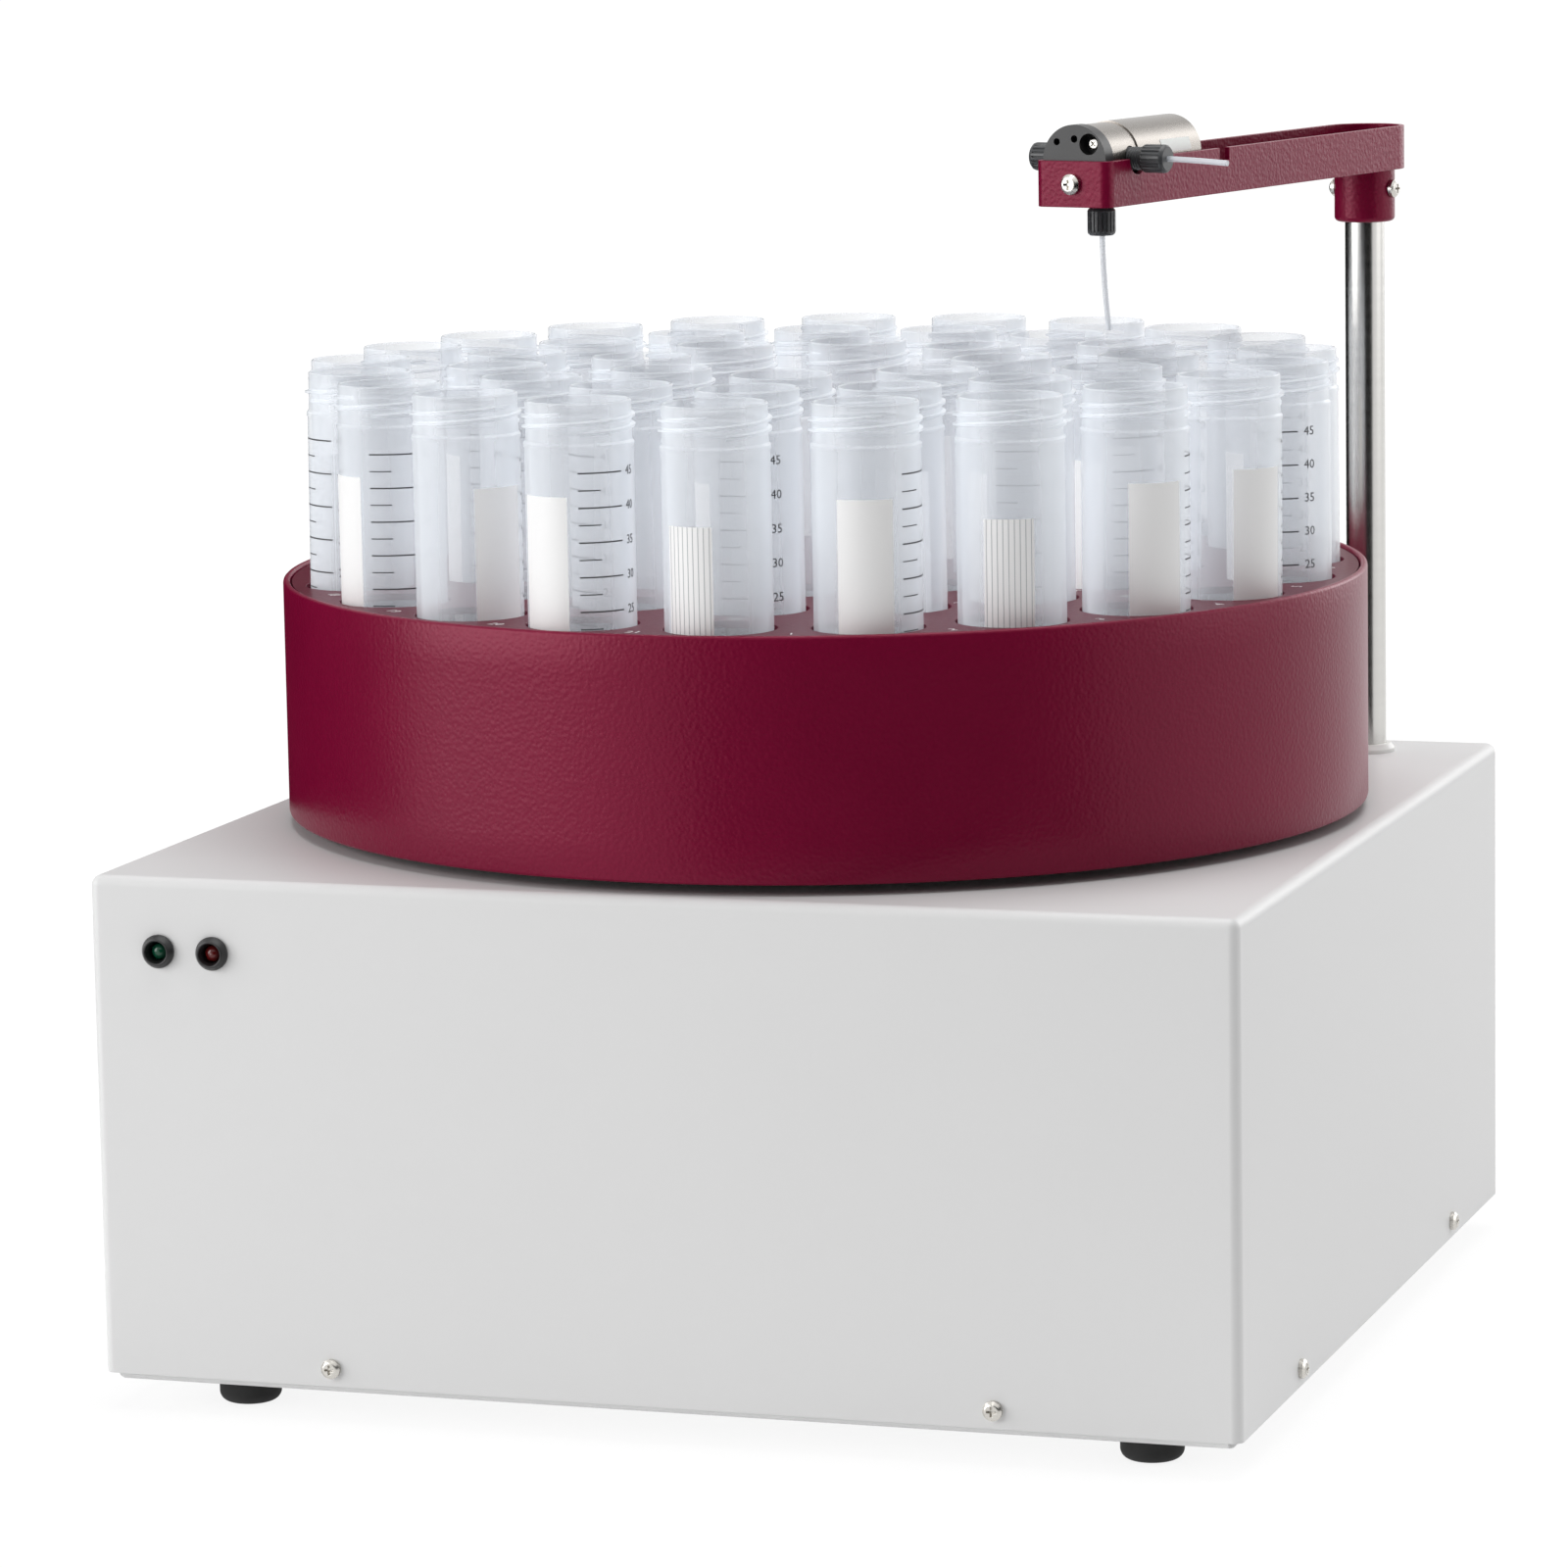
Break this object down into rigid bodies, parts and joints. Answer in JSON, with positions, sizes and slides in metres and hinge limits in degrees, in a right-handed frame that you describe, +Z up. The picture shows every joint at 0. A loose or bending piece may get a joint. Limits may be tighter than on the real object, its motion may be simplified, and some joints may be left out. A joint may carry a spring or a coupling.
{
  "type": "carousel fraction collector",
  "caption": "Bench fraction collector: a powered drum carries rings of screw-neck centrifuge tubes below a swinging arm with a solenoid diverter valve.",
  "frame": {"origin": "on the bench, below the middle of the housing and on the drum's axis", "axes": "+X to the right seen from the front, +Y to the rear, +Z up; the lamps face -Y"},
  "size_m": [0.3342, 0.3321, 0.354],
  "materials": {
    "grey_paint": "near-white fine-textured powder coat",
    "maroon_paint": "dark crimson satin powder coat with a fine texture",
    "bright_steel": "ground and brushed stainless steel",
    "bare_steel": "zinc-plated sheet steel",
    "zinc_steel": "bright zinc-plated screws",
    "raw_aluminium": "machined and brushed",
    "nickel": "satin nickel plate",
    "brass": "cut brass",
    "copper_wire": "enamelled copper winding on a bobbin",
    "black_plastic": "moulded, fine-textured",
    "gloss_black": "moulded, polished",
    "dark_plastic": "moulded dark grey",
    "white_plastic": "moulded, smooth",
    "ivory_plastic": "moulded gear plastic",
    "tube_plastic": "translucent moulded tube with printed write-on areas",
    "clear_tubing": "translucent fluoropolymer tubing",
    "foot_rubber": "moulded",
    "green_lens": "tinted lamp",
    "red_lens": "tinted lamp",
    "dark_enamel": "black motor enamel over laminations",
    "wire_sleeve": "wire insulation",
    "board_green": "solder-masked board with components"
  },
  "bodies": {
    "base": {"hood": "grey_paint", "bottom_tray": "grey_paint", "feet": "foot_rubber", "foot_screws": "zinc_steel", "cover_screws": "zinc_steel", "led_bezels": "black_plastic", "led_green": "green_lens", "led_red": "red_lens", "drive_plate": "bare_steel", "drive_pillars": "bare_steel", "bearing_housing": "raw_aluminium", "bearing_outer_rings": "bright_steel", "carousel_motor": "dark_enamel", "arm_motor": "dark_enamel", "motor_screws": "zinc_steel", "post_block": "raw_aluminium", "upper_bush": "white_plastic", "lower_bush": "white_plastic", "circuit_boards": "board_green", "mains_inlet": "black_plastic", "rear_connectors": "nickel"},
    "carousel": {"turntable": "raw_aluminium", "spindle": "bright_steel", "spindle_gear": "ivory_plastic", "spindle_circlip": "bare_steel", "bearing_inner_rings": "bright_steel", "drum": "maroon_paint", "plate_spacers": "bare_steel", "lower_plate": "raw_aluminium", "upper_plate": "maroon_paint", "turntable_screws": "zinc_steel", "tubes_outer_right": "tube_plastic", "tubes_outer_rear": "tube_plastic", "tubes_outer_left": "tube_plastic", "tubes_middle_right": "tube_plastic", "tubes_middle_left": "tube_plastic", "tubes_inner": "tube_plastic"},
    "carousel_drive": {"carousel_pinion": "brass", "carousel_motor_shaft": "bright_steel"},
    "arm": {"arm_channel": "maroon_paint", "arm_post": "bright_steel", "post_collar": "bright_steel", "sector_gear": "ivory_plastic", "arm_hub": "maroon_paint", "arm_screws": "zinc_steel", "valve_body": "black_plastic", "valve_screws": "zinc_steel", "valve_sleeve": "nickel", "solenoid_can": "nickel", "solenoid_coil": "copper_wire", "side_fittings": "dark_plastic", "outlet_fitting": "dark_plastic", "tubing": "clear_tubing", "valve_wires": "wire_sleeve"},
    "arm_drive": {"arm_pinion": "brass", "arm_motor_shaft": "bright_steel"},
    "plunger": {"valve_plunger": "bright_steel"},
    "rocker": {"power_rocker": "gloss_black"},
    "loose_tube": {"lift_tube": "tube_plastic"}
  },
  "joints": [
    {"name": "carousel_turn", "type": "hinge", "parent": "base", "child": "carousel", "pos_m": [0, 0, 0.1554], "axis": [0, 0, 1], "continuous": true},
    {"name": "carousel_pinion_spin", "type": "hinge", "parent": "base", "child": "carousel_drive", "pos_m": [-0.06012, 0, 0.084], "axis": [0, 0, 1], "continuous": true},
    {"name": "arm_swing", "type": "hinge", "parent": "base", "child": "arm", "pos_m": [0.1295, 0.1377, 0.152], "axis": [0, 0, 1], "range_deg": [-16, 24]},
    {"name": "arm_pinion_spin", "type": "hinge", "parent": "base", "child": "arm_drive", "pos_m": [0.0976, 0.1058, 0.084], "axis": [0, 0, 1], "range_deg": [-96, 64]},
    {"name": "valve_plunger_pull", "type": "slide", "parent": "arm", "child": "plunger", "axis": [0.2418, 0.9703, 0], "range_m": [0, 0.0012], "stiffness_N_per_m": 500, "springref_m": -0.001},
    {"name": "power_switch", "type": "hinge", "parent": "base", "child": "rocker", "pos_m": [-0.072, 0.158, 0.06], "axis": [1, 0, 0], "range_deg": [-16, 0]},
    {"name": "tube_lift", "type": "slide", "parent": "carousel", "child": "loose_tube", "axis": [0, 0, 1], "range_m": [0, 0.06]}
  ],
  "couplings": [
    {"joint": "carousel_pinion_spin", "follows": "carousel_turn", "ratio": -4},
    {"joint": "arm_pinion_spin", "follows": "arm_swing", "ratio": -4}
  ]
}
